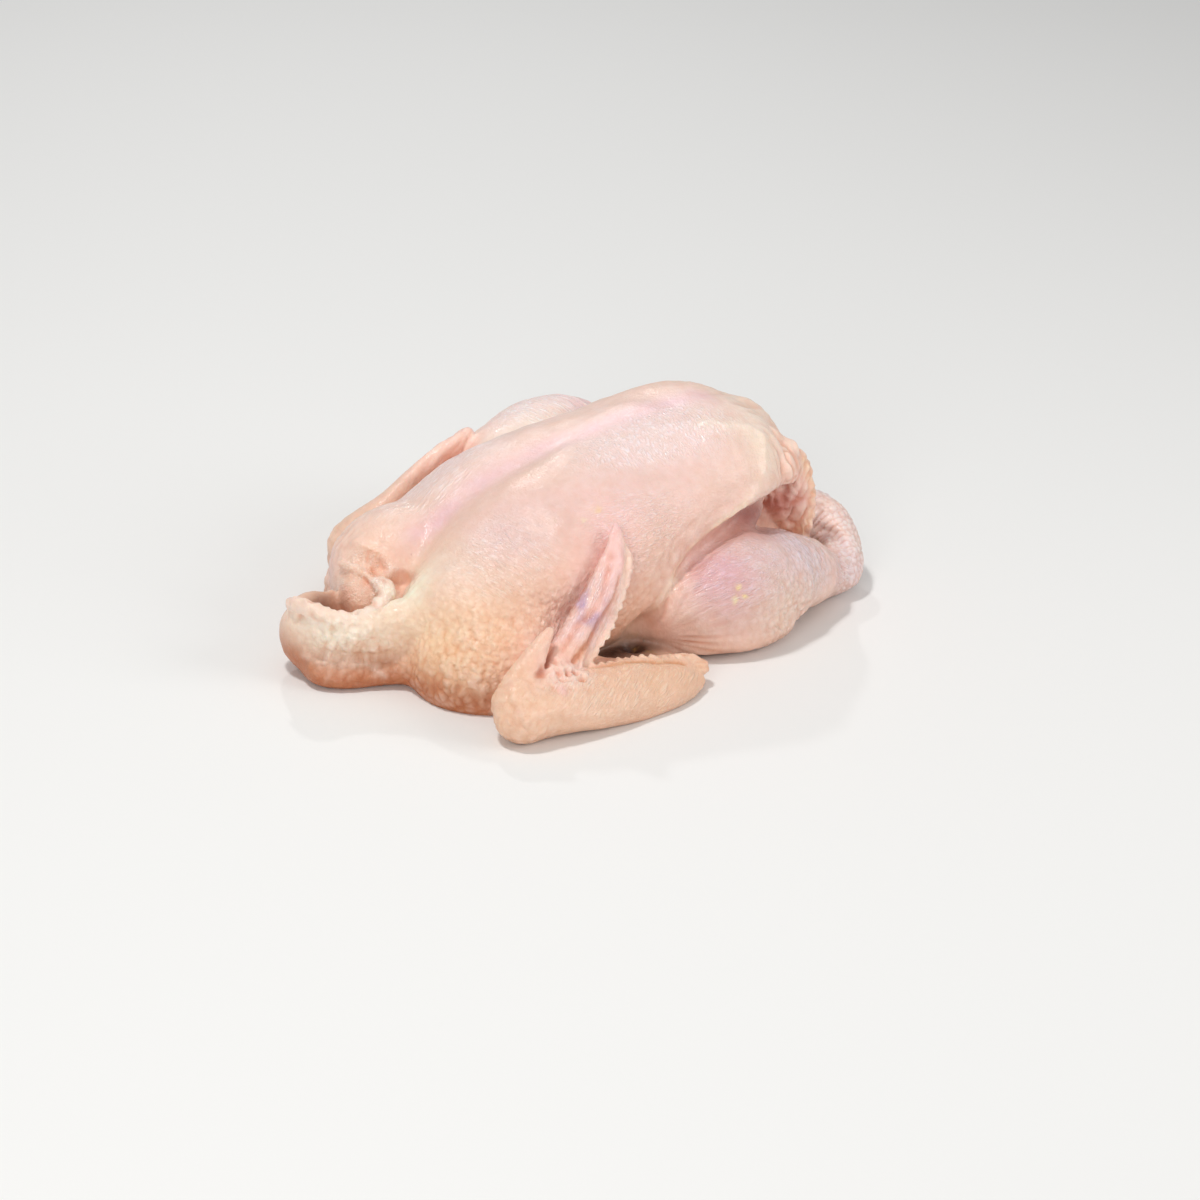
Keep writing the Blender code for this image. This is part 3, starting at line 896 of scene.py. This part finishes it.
# Patches of colour: centre, half sizes, strength and colour, laid on in this order
PATCHES = [
    ((-10, -46, 74), (64, 30, 34), 1.0, ROSE),
    ((30, -20, 94), (50, 34, 20), 0.9, PALE_ROSE),
    ((-40, 34, 70), (70, 30, 24), 0.9, PALE_ROSE),
    ((-62, -38, 66), (26, 20, 16), 0.6, (0.82, 0.55, 0.54)),
    ((-20, -66, 50), (40, 14, 22), 0.7, (0.84, 0.50, 0.38)),
    ((-30, -64, 24), (40, 12, 16), 0.8, (0.86, 0.46, 0.28)),
    ((-100, -60, 24), (26, 32, 26), 0.9, (1.0, 0.68, 0.42)),
    ((-88, -36, 50), (14, 20, 16), 0.6, (0.96, 0.68, 0.56)),
    ((-62, -72, 26), (30, 14, 16), 0.6, (0.86, 0.53, 0.38)),
    ((-102, -22, 36), (14, 12, 16), 1.1, (1.0, 0.92, 0.72)),
    ((-136, -20, 26), (24, 20, 12), 1.0, (1.0, 0.90, 0.74)),
    ((-152, -6, 10), (8, 18, 9), 0.9, (0.60, 0.27, 0.16)),
    ((-110, 4, 36), (14, 18, 14), 0.9, (1.0, 0.60, 0.42)),
    ((-113, 3, 30), (7, 9, 8), 0.7, (0.96, 0.52, 0.40)),
    ((-95, -4, 34), (4, 6, 6), 0.7, (1.0, 0.64, 0.50)),
    ((-99, 0, 41), (6, 8, 5), 0.5, (0.94, 0.52, 0.40)),
    # Painted shade in the dark hole of the neck, where the trough's floor meets the flesh
    ((-130, 8, 24), (9, 8, 8), 0.9, (0.22, 0.08, 0.05)),
    ((72, -40, 84), (10, 12, 14), 0.6, (0.96, 0.78, 0.60)),
    ((84, -14, 90), (22, 30, 12), 0.7, (0.93, 0.76, 0.62)),
    ((92, -32, 66), (16, 12, 16), 0.8, (0.96, 0.62, 0.50)),
    ((102, -23, 46), (12, 12, 14), 0.8, (0.92, 0.52, 0.44)),
    ((116, 4, 50), (14, 24, 30), 0.6, (0.92, 0.60, 0.50)),
    ((10, -60, 34), (20, 8, 18), 0.8, (0.84, 0.52, 0.34)),
    ((40, -74, 34), (34, 18, 24), 1.0, (0.70, 0.42, 0.40)),
    ((66, -78, 20), (20, 14, 16), 0.9, (0.90, 0.70, 0.58)),
    ((82, -58, 36), (28, 18, 20), 0.95, (0.80, 0.66, 0.71)),
    ((28, -72, 40), (12, 14, 12), 0.8, (0.72, 0.39, 0.42)),
    ((14, -66, 14), (16, 12, 14), 0.7, (0.66, 0.38, 0.32)),
    ((108, -50, 22), (14, 12, 12), 0.8, (0.79, 0.46, 0.42)),
    ((102, -50, 32), (9, 8, 6), 0.8, (0.86, 0.62, 0.52)),
    ((122, -44, 12), (9, 10, 9), 0.7, (0.79, 0.50, 0.49)),
    ((20, 66, 74), (50, 24, 20), 0.9, (0.91, 0.71, 0.67)),
    ((42, 60, 74), (12, 12, 10), 0.8, (0.86, 0.55, 0.55)),
    ((0, 52, 68), (26, 8, 9), 0.9, (0.95, 0.76, 0.62)),
    ((-34, 66, 60), (22, 8, 14), 0.9, (1.0, 0.62, 0.50)),
    ((-36, 64, 50), (6, 6, 5), 0.6, (0.70, 0.26, 0.18)),
    ((-106, 34, 44), (18, 18, 14), 0.9, (0.92, 0.62, 0.50)),
    ((-108, 40, 30), (16, 14, 10), 0.8, (0.78, 0.55, 0.55)),
    # Painted shade in the recess under the tail skin, in the hollow at the end of the breast
    # and in the crease under its edge
    ((90, -26, 45), (13, 12, 9), 0.9, (0.50, 0.16, 0.13)),
    ((62, -46, 53), (18, 11, 8), 1.1, (0.34, 0.10, 0.08)),
    ((46, -54, 51), (16, 6, 6), 0.6, (0.62, 0.28, 0.22)),
]

# Lines of colour: path, reach, strength and colour
STRIPES = [
    (KEEL_LINE, 7.5, 0.6, (0.88, 0.54, 0.58)),
    (HAND_LINE, 15, 0.9, (0.96, 0.58, 0.53)),
    # Painted shade in the hand's groove and in the crease on the body beside the hand
    (HAND_GROOVE, 2.0, 0.8, (0.78, 0.36, 0.20)),
    (HAND_SIDE, 3.0, 0.6, (0.72, 0.38, 0.28)),
    (LEG_LINE, 2.0, 0.4, (0.90, 0.74, 0.66)),
    # Painted shade in the thumb's groove
    (THUMB_GROOVE, 2.2, 0.7, (0.66, 0.30, 0.26)),
    (FOREARM_LINE, 17, 0.9, (0.81, 0.47, 0.30)),
    (FOREARM_EDGE, 4, 0.9, (1.0, 0.78, 0.60)),
    # Painted shade in the forearm's groove
    (FOREARM_GROOVE, 1.6, 0.6, (0.74, 0.44, 0.22)),
    (HAND_EDGE, 3.2, 0.85, (1.0, 0.70, 0.54)),
    (SHANK_LINE, 15, 0.95, LILAC),
    (FAR_SHANK_LINE, 15, 0.95, LILAC),
    (BREAST_END, 3.5, 0.35, (0.98, 0.76, 0.60)),
    (LOWER_LIP, 2.2, 0.8, (0.95, 0.74, 0.52)),
    (CURTAIN_EDGE, 3, 0.7, (1.0, 0.68, 0.46)),
    (NECK_RIM, 4, 0.8, (1.0, 0.76, 0.68)),
    (THROAT_FOLDS, 2.5, 0.7, (1.0, 0.80, 0.68)),
]

# Small flecks: centre, half size and colour
FLECKS = [
    ((-22, -49, 74), 1.6, (0.90, 0.62, 0.22)),
    ((-30, -52, 70), 0.9, (0.94, 0.76, 0.44)),
    ((35, -79, 36), 1.1, (0.95, 0.74, 0.30)),
    ((33, -80, 31), 1.2, (0.93, 0.76, 0.42)),
    ((37, -81, 32), 0.8, (0.95, 0.74, 0.30)),
    ((29, -58, 50), 1.3, (0.90, 0.58, 0.18)),
    ((-67, -58, 53), 0.8, (0.72, 0.42, 0.24)),
    ((10, -16, 91), 0.9, (0.88, 0.66, 0.44)),
    ((-112, -26, 28), 1.4, (0.92, 0.55, 0.18)),
]


def skin_colours(points, heights):
    """The colour of each point, zone by zone, with painted shade in the hollows, in the gap
    by the near wing and in the creases of the relief, painted shade and a painted board
    reflection low down, and a painted highlight on the ridges of the relief.
    """
    blotch = 0.6 * noise(points, 20, seed=40) + 0.4 * noise(points, 8, seed=41)
    colour = np.tile(np.array(PEACH), (len(points), 1))
    for centre, halves, strength, paint in PATCHES:
        share = strength * (0.9 + 0.3 * blotch) * near(points, centre, halves) ** 0.8
        colour = mix(colour, np.clip(share, 0, 1), paint)
    # Painted shade and a painted reflection of a wooden board: the front is tanned more
    # towards the bottom, and all the lowest skin a little
    front = ramp(-points[:, 0], 55, 80) * ramp(-points[:, 2] + 5 * blotch, -30, -1) ** 1.4
    colour = mix(colour, 0.9 * front * ramp(points[:, 1], -98, -90), SHADED_TAN)
    under = ramp(-points[:, 2], -14, -1)
    colour = mix(colour, 0.35 * under, SHADED_TAN)
    # Painted shade: the deep gap between the near wing and the body is painted nearly black,
    # with straw-coloured bits in it
    gap = near(points, (-15, -64, 6), (19, 9, 6)) * ramp(points[:, 1], -86, -80)
    colour = mix(colour, np.clip(1.6 * gap, 0, 1), GAP_SHADE)
    straws = gap * ramp(noise(points, 5, seed=47), 0.35, 0.6) * ramp(points[:, 0], -12, -4)
    colour = mix(colour, straws, STRAW)
    for seed, (path, reach, strength, paint) in enumerate(STRIPES):
        uneven = 0.9 + 0.35 * noise(points, 11, seed + 140)
        share = strength * uneven * beside(points, path, reach)
        colour = mix(colour, np.clip(share, 0, 1), paint)
    bruise = near(points, (-47, -82.5, 43), (9, 8, 10))
    colour = mix(colour, 0.8 * (bruise * ramp(noise(points, 7, seed=45), -0.3, 0.4)), BRUISE)
    wrist = near(points, (-84, -108, 22), (12, 10, 10))
    colour = mix(colour, 0.6 * (wrist * ramp(noise(points, 8, seed=46), 0, 0.7)), RED_WRIST)
    for centre, size, paint in FLECKS:
        colour = mix(colour, near(points, centre, (size, size, size)), paint)
    # Painted shade in the creases of the relief and a painted highlight on its ridges
    creases = np.clip(-heights, 0, 0.8)[:, None]
    colour *= 1 - creases * np.array(CREASE_SHADE_LOSS)
    colour = mix(colour, 0.38 * np.clip(heights, 0, 1), RIDGE_HIGHLIGHT)
    fine = noise(points, 3.5, seed=42)
    colour *= (1 + 0.05 * blotch + 0.035 * fine)[:, None]
    return np.clip(colour, 0.01, 1)


# Fine lines in the skin: centre, half sizes, strength, way, length and width
FINE_LINES = [
    ((-66, -50, 58), (30, 26, 20), 0.55, (0.49, -0.82, -0.31), 7, 1.2),
    ((20, -24, 92), (40, 16, 12), 0.9, (-0.06, -0.95, -0.32), 4, 1.6),
    ((-10, -56, 62), (30, 14, 20), 0.6, (1, -0.2, 0.3), 8, 1.3),
    ((40, -72, 40), (26, 16, 18), 0.8, (0.8, -0.2, 0.35), 9, 1.4),
    ((84, -58, 36), (22, 18, 18), 0.8, (0.35, -0.6, -0.7), 7, 1.5),
    ((108, -50, 22), (13, 11, 12), 1.0, (0.75, 0.1, -0.6), 12, 1.2),
    ((-40, -106, 14), (46, 14, 14), 1.0, (0.76, 0.58, 0.30), 10, 1.5),
    ((-46, -80, 40), (24, 18, 26), 0.7, (0.66, 0.36, 0.66), 10, 1.1),
    ((-110, 2, 38), (14, 20, 12), 0.6, (0.3, 1, -0.7), 10, 1.3),
    ((-60, 30, 66), (50, 26, 18), 0.5, (0.9, 0.2, 0.4), 8, 1.5),
    ((24, 64, 76), (30, 18, 14), 0.8, (0.52, -0.89, -0.25), 9, 1.4),
]


def fine_lines(points):
    """Line coordinates of the strongest lines at each point, and how strong they are."""
    best = np.zeros(len(points))
    second = np.zeros(len(points))
    grain = np.zeros((len(points), 3))
    for centre, halves, strength, way, length, width in FINE_LINES:
        share = strength * near(points, centre, halves)
        second = np.maximum(second, np.minimum(share, best))
        ahead = share > best
        best[ahead] = share[ahead]
        grain[ahead] = line_space(points[ahead], way, length, width)
    return grain, ramp(best - second, 0, 0.45)


def fine_cobbles(points):
    """How strongly the fine cobbles show at each point."""
    front = near(points, (-84, -64, 24), (46, 32, 32))
    flap = near(points, (-130, -18, 14), (26, 20, 20))
    thigh = near(points, (60, -74, 20), (30, 18, 20))
    drumstick = near(points, (86, -56, 34), (24, 20, 18))
    return np.clip(0.12 + 0.88 * (front + flap + (thigh + drumstick)), 0, 1)


def wetness(points):
    """How wet each point looks, most of all on the near side of the breast."""
    near_breast = near(points, (-66, -48, 58), (32, 28, 22))
    crest = near(points, (0, -18, 88), (50, 18, 14))
    hand = near(points, (-46, -80, 40), (26, 16, 24))
    return np.clip(0.25 + 0.75 * (near_breast + crest + 0.5 * hand), 0, 1)


def put_colours(mesh, name, values):
    """Stores up to four numbers for each point under this name."""
    full = np.ones((len(values), 4))
    full[:, :values.shape[1]] = values
    layer = mesh.attributes.new(name, "FLOAT_COLOR", "POINT")
    layer.data.foreach_set("color", full.ravel())


class Nodes:
    """Adds nodes to a material and joins them up."""

    def __init__(self, material):
        material.use_nodes = True
        self.tree = material.node_tree
        self.shader = self.tree.nodes["Principled BSDF"]

    def add(self, kind, links=(), **values):
        """One node, with these values for its inputs and these sockets linked in."""
        node = self.tree.nodes.new("ShaderNode" + kind)
        for name, value in values.items():
            label = name.replace("_", " ")
            if label in node.inputs:
                node.inputs[label].default_value = value
            else:
                setattr(node, name, value)
        for place, source in dict(links).items():
            self.tree.links.new(source, node.inputs[place])
        return node

    def calc(self, operation, *terms):
        """The result of a math node whose terms are numbers or sockets."""
        node = self.tree.nodes.new("ShaderNodeMath")
        node.operation = operation
        for place, term in enumerate(terms):
            if isinstance(term, (int, float)):
                node.inputs[place].default_value = term
            else:
                self.tree.links.new(term, node.inputs[place])
        return node.outputs["Value"]

    def to_shader(self, source, name):
        """Links a socket to the shader's input of this name."""
        self.tree.links.new(source, self.shader.inputs[name])


# How many of each fine pattern's grains lie along a metre
FOLLICLES = 520.0
KNOBS = 300.0
PORES = 900.0
MOTTLES = 240.0
WET_SPOTS = 70.0

# Heights of the fine patterns where they show fully; below zero the grains stand up
STREAK_HEIGHT = 2.2
FOLLICLE_HEIGHT = -0.55
KNOB_HEIGHT = -1.3
PORE_HEIGHT = 0.45

# How much of its bump each layer shows, and what the film's bump is made of
SKIN_BUMP = 0.75
FILM_BUMP = 0.4
FILM_PORES = 0.6
FILM_STREAKS = 2.0

# What the tone takes from the mottling, from the lines, whose paleness is partly the skin's
# own and partly a painted highlight, and from the painted shade in the creases between the
# knobs, and how each channel follows it
PLAIN_TONE = 0.96
MOTTLE_TONE = 0.24
LINE_PALE_AND_HIGHLIGHT = 1.1
KNOB_CREASE_SHADE = -0.3
RED_POWER = 0.4
BLUE_POWER = 1.4

DRY_ROUGHNESS = 0.5
WET_ROUGHNESS = -0.25      # what the film adds
LEAST_COAT = 0.15
WET_COAT = 0.8             # what the film adds

SHADER_SETTINGS = {
    "Subsurface Weight": 0.14,
    "Subsurface Radius": (1.0, 0.35, 0.2),
    "Subsurface Scale": 0.002,
    "IOR": 1.4,
    "Coat Roughness": 0.12,
}


def skin_material():
    """Raw skin: the stored colours, which hold painted shade and highlight, faint mottling,
    follicles, fine lines made paler partly as a painted highlight, painted shade between the
    knobs and a wet gloss.
    """
    skin = bpy.data.materials.new("raw chicken skin")
    made = Nodes(skin)
    place = made.add("TexCoord").outputs["Object"]
    zone = made.add("Attribute", attribute_name="skin").outputs["Color"]
    grain = made.add("Attribute", attribute_name="grain").outputs["Vector"]
    detail = made.add("Attribute", attribute_name="detail").outputs["Color"]
    shares = made.add("SeparateColor", {"Color": detail}).outputs
    lines_share, cobble_share, wet_share = shares["Red"], shares["Green"], shares["Blue"]

    def spots(kind, scale, output="Fac", **values):
        return made.add(kind, {"Vector": place}, Scale=scale, **values).outputs[output]

    def bumped(height, strength):
        node = made.add("Bump", {"Height": height}, Strength=strength, Distance=MM)
        return node.outputs["Normal"]

    lines = made.add("TexNoise", {"Vector": grain}, Scale=1.0, Detail=2.0).outputs["Fac"]
    ridges = made.calc("ABSOLUTE", made.calc("SUBTRACT", lines, 0.5))
    follicles = spots("TexVoronoi", FOLLICLES, "Distance")
    knobs = spots("TexVoronoi", KNOBS, "Distance")
    pores = spots("TexNoise", PORES, Detail=5.0)

    # The bump of the skin itself, and a gentler one for the wet film on it
    strokes = made.calc("MULTIPLY", ridges, lines_share)
    streaks = made.calc("MULTIPLY", strokes, STREAK_HEIGHT)
    raised = made.calc("MULTIPLY", knobs, KNOB_HEIGHT)
    raised = made.calc("MULTIPLY_ADD", follicles, FOLLICLE_HEIGHT, raised)
    height = made.calc("MULTIPLY_ADD", raised, cobble_share, streaks)
    height = made.calc("MULTIPLY_ADD", pores, PORE_HEIGHT, height)
    made.to_shader(bumped(height, SKIN_BUMP), "Normal")
    ripple = made.calc("MULTIPLY", streaks, FILM_STREAKS)
    ripple = made.calc("MULTIPLY_ADD", pores, FILM_PORES, ripple)
    made.to_shader(bumped(ripple, FILM_BUMP), "Coat Normal")

    # The zone's colour, made paler and less red on the lines, partly as the skin's own pale
    # lines and partly as a painted highlight, and darker and redder in the creases between
    # the knobs, as painted shade
    mottle = spots("TexNoise", MOTTLES, Detail=6.0)
    tone = made.calc("MULTIPLY_ADD", mottle, MOTTLE_TONE, PLAIN_TONE)
    tone = made.calc("MULTIPLY_ADD", strokes, LINE_PALE_AND_HIGHLIGHT, tone)
    painted_knob_shade = made.calc("MULTIPLY", knobs, cobble_share)
    tone = made.calc("ADD", tone, made.calc("MULTIPLY", painted_knob_shade, KNOB_CREASE_SHADE))
    red = made.calc("POWER", tone, RED_POWER)
    blue = made.calc("POWER", tone, BLUE_POWER)
    tones = made.add("CombineXYZ", {"X": red, "Y": tone, "Z": blue}).outputs["Vector"]
    tinted = made.add("VectorMath", {0: zone, 1: tones}, operation="MULTIPLY")
    made.to_shader(tinted.outputs["Vector"], "Base Color")

    # The wet film, in uneven spots
    film = spots("TexNoise", WET_SPOTS, Detail=5.0)
    damp = made.calc("MULTIPLY", wet_share, made.calc("MULTIPLY_ADD", film, 0.8, 0.3))
    rough = made.calc("MULTIPLY_ADD", damp, WET_ROUGHNESS, DRY_ROUGHNESS)
    made.to_shader(rough, "Roughness")
    made.to_shader(made.calc("MULTIPLY_ADD", damp, WET_COAT, LEAST_COAT), "Coat Weight")
    for name, value in SHADER_SETTINGS.items():
        made.shader.inputs[name].default_value = value
    return skin


FLOOR_COLOUR = (0.88, 0.88, 0.87, 1)
FLOOR_REACH = 6            # metres from the middle to each side
SKY_COLOUR = (1.0, 1.0, 1.0, 1)
SKY_STRENGTH = 0.37

# Lights, all aimed at the bird: name, place and size in metres, power and colour
AIM = (0, 0, 0.05)
LIGHTS = [
    ("key", (-0.43, 0.08, 1.52), 0.24, 7.5, (1, 0.99, 0.97)),
    ("glint", (-0.40, 0.06, 1.50), 0.05, 2, (1, 1, 1)),
    ("sparkle", (0.42, 1.2, 0.96), 0.07, 2.6, (1, 1, 1)),
    ("front", (-1.1, -1.1, 0.7), 0.7, 7, (1, 0.99, 0.97)),
    ("side", (0.9, -1.0, 0.7), 0.9, 6, (1, 0.99, 0.98)),
]


def floor_material():
    """A plain pale floor."""
    pale = bpy.data.materials.new("pale floor")
    pale.use_nodes = True
    shader = pale.node_tree.nodes["Principled BSDF"]
    shader.inputs["Base Color"].default_value = FLOOR_COLOUR
    shader.inputs["Roughness"].default_value = 0.7
    return pale


def lay_floor():
    """The floor that the bird lies on, which isn't part of it."""
    shape = bmesh.new()
    bmesh.ops.create_grid(shape, x_segments=1, y_segments=1, size=FLOOR_REACH)
    mesh = bpy.data.meshes.new("floor")
    shape.to_mesh(mesh)
    shape.free()
    floor = link("floor", mesh)
    floor.data.materials.append(floor_material())


def light_studio():
    """An even pale sky and the soft lamps."""
    world = bpy.data.worlds.new("studio")
    bpy.context.scene.world = world
    world.use_nodes = True
    sky = world.node_tree.nodes["Background"]
    sky.inputs["Color"].default_value = SKY_COLOUR
    sky.inputs["Strength"].default_value = SKY_STRENGTH
    for name, place, size, power, colour in LIGHTS:
        lamp = bpy.data.lights.new(name, "AREA")
        lamp.shape = "DISK"
        lamp.size = size
        lamp.energy = power
        lamp.color = colour
        obj = link(name, lamp)
        obj.location = place
        obj.rotation_euler = (Vector(AIM) - Vector(place)).to_track_quat("-Z", "Y").to_euler()


def place_camera(middle):
    """The camera at the photo's viewing angle, moved with the middle of the bird."""
    lens = bpy.data.cameras.new("camera")
    lens.sensor_width = SENSOR
    lens.lens = CAMERA_LENS
    lens.clip_start = CLIP_START
    camera = link("camera", lens)
    turn = Matrix((CAMERA_RIGHT, CAMERA_UP, CAMERA_BACK)).transposed().to_4x4()
    place = (Vector(CAMERA_AT) - Vector(middle)) * MM
    camera.matrix_world = Matrix.Translation(place) @ turn
    bpy.context.scene.camera = camera
    bpy.context.scene.view_settings.view_transform = "Standard"


def move_points(mesh, points):
    """Puts the mesh's points at these places."""
    mesh.vertices.foreach_set("co", (points * MM).ravel())
    mesh.update()


def joined_bird():
    """The whole bird as one skin, before it is sculpted."""
    masses = trunk() + near_leg() + far_leg() + upper_arms()
    body = one_skin("body", masses, BODY_VOXEL, BODY_SOFTENING)
    thin = near_wing() + far_wing() + loose_skin()
    return one_skin("chicken_skin", [body] + thin, SKIN_VOXEL, SKIN_SOFTENING)


def raise_relief(mesh):
    """Adds the fine relief and keeps its height at each point for the colours."""
    points, facing = points_of(mesh)
    fine = cobble_relief(points) + line_relief(points) + fold_relief(points)
    fine += fan_relief(points) + scale_relief(points, facing)
    rise = (fine + unevenness(points)) * ramp(points[:, 2], FLAT_BELOW, FULL_ABOVE)
    mesh.attributes.new("height", "FLOAT", "POINT").data.foreach_set("value", fine)
    moved = points + facing * rise[:, None] + edge_relief(points)
    moved[:, 2] = np.maximum(moved[:, 2], 0)
    move_points(mesh, moved)


def paint_skin(mesh, points):
    """Stores the colours, the fine lines and the shares of the fine patterns."""
    heights = np.empty(len(points))
    mesh.attributes["height"].data.foreach_get("value", heights)
    put_colours(mesh, "skin", skin_colours(points, heights))
    grain, share = fine_lines(points)
    put_colours(mesh, "grain", grain)
    shares = np.column_stack([share, fine_cobbles(points), wetness(points)])
    put_colours(mesh, "detail", shares)
    mesh.materials.append(skin_material())


def main():
    """The bird, sculpted, painted and moved over the middle of the floor."""
    chicken = joined_bird()
    points = sculpt(chicken.data)
    middle = (points.min(axis=0) + points.max(axis=0)) / 2
    middle[2] = 0
    move_points(chicken.data, points)
    raise_relief(chicken.data)
    thin_out(chicken)
    mesh = chicken.data
    points, _ = points_of(mesh)
    paint_skin(mesh, points)
    mesh.shade_smooth()
    move_points(mesh, points - middle)
    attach(chicken, "root")
    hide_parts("chicken")
    lay_floor()
    light_studio()
    place_camera(middle)


main()
